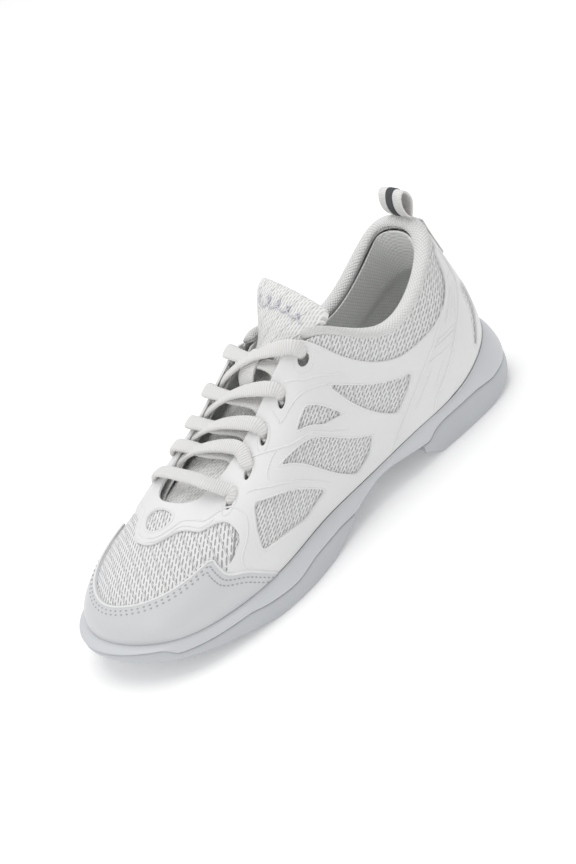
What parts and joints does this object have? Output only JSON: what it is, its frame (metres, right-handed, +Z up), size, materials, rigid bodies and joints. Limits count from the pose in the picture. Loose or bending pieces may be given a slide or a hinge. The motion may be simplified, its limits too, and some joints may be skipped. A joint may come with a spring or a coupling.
{
  "type": "cheer shoe",
  "caption": "Low lace-up cheer trainer with a split sole, a smooth cage over mesh, a padded collar, a folding padded tongue and a heel pull loop.",
  "frame": {"origin": "on the ground, under the middle of the shoe's overall length and width", "axes": "+Z up, -X towards the toe, +X towards the heel, -Y towards the outer (lateral) side, +Y towards the inner (medial) side"},
  "size_m": [0.2621, 0.0986, 0.114],
  "materials": {
    "foam": "matt white moulded foam",
    "outsole": "matt white rubber with a fine moulded texture",
    "board": "felted board",
    "insole": "brushed textile on foam",
    "mesh": "open white mesh with slanted slots",
    "lining": "soft grey knitted lining",
    "stiffener": "thin thermoplastic sheet",
    "padding": "soft open-cell foam",
    "cage": "smooth white fused film, slightly satin",
    "toe_leather": "smooth white synthetic leather",
    "knit": "close white knit",
    "tongue": "padded white textile",
    "webbing": "ribbed white webbing",
    "lace": "flat woven white lace",
    "aglet": "clear-white plastic tip",
    "stripe": "dark woven stripe"
  },
  "bodies": {
    "rearfoot": {"midsole": "foam", "outsole_forefoot": "outsole", "outsole_heel": "outsole", "strobel_board": "board", "insole": "insole", "mesh_upper": "mesh", "upper_lining": "lining", "heel_counter": "stiffener", "collar_padding": "padding", "side_cage": "cage", "heel_overlay": "cage", "collar_roll": "knit", "tongue_lower": "tongue", "lace_keeper": "webbing", "lace": "lace", "pull_loop_anchor": "webbing"},
    "forefoot": {"toe_cap": "toe_leather", "toe_puff": "stiffener", "aglet_lateral": "aglet", "aglet_medial": "aglet"},
    "tongue_top": {"tongue_upper": "tongue"},
    "heel_loop": {"pull_loop": "webbing", "pull_loop_stripe": "stripe"}
  },
  "joints": [
    {"name": "forefoot_flex", "type": "hinge", "parent": "rearfoot", "child": "forefoot", "pos_m": [-0.03, 0, 0.006], "axis": [0, 1, 0], "range_deg": [-4, 32], "stiffness_Nm_per_rad": 2, "deforming": ["midsole", "outsole_forefoot", "strobel_board", "insole", "mesh_upper", "upper_lining", "side_cage", "lace", "tongue_lower"]},
    {"name": "tongue_fold", "type": "hinge", "parent": "rearfoot", "child": "tongue_top", "pos_m": [0.021, 0, 0.09], "axis": [0, 1, 0], "range_deg": [-70, 6], "stiffness_Nm_per_rad": 0.05},
    {"name": "pull_loop_swing", "type": "hinge", "parent": "rearfoot", "child": "heel_loop", "pos_m": [0.114, 0, 0.0996], "axis": [0, 1, 0], "range_deg": [-40, 50], "stiffness_Nm_per_rad": 0.02}
  ]
}
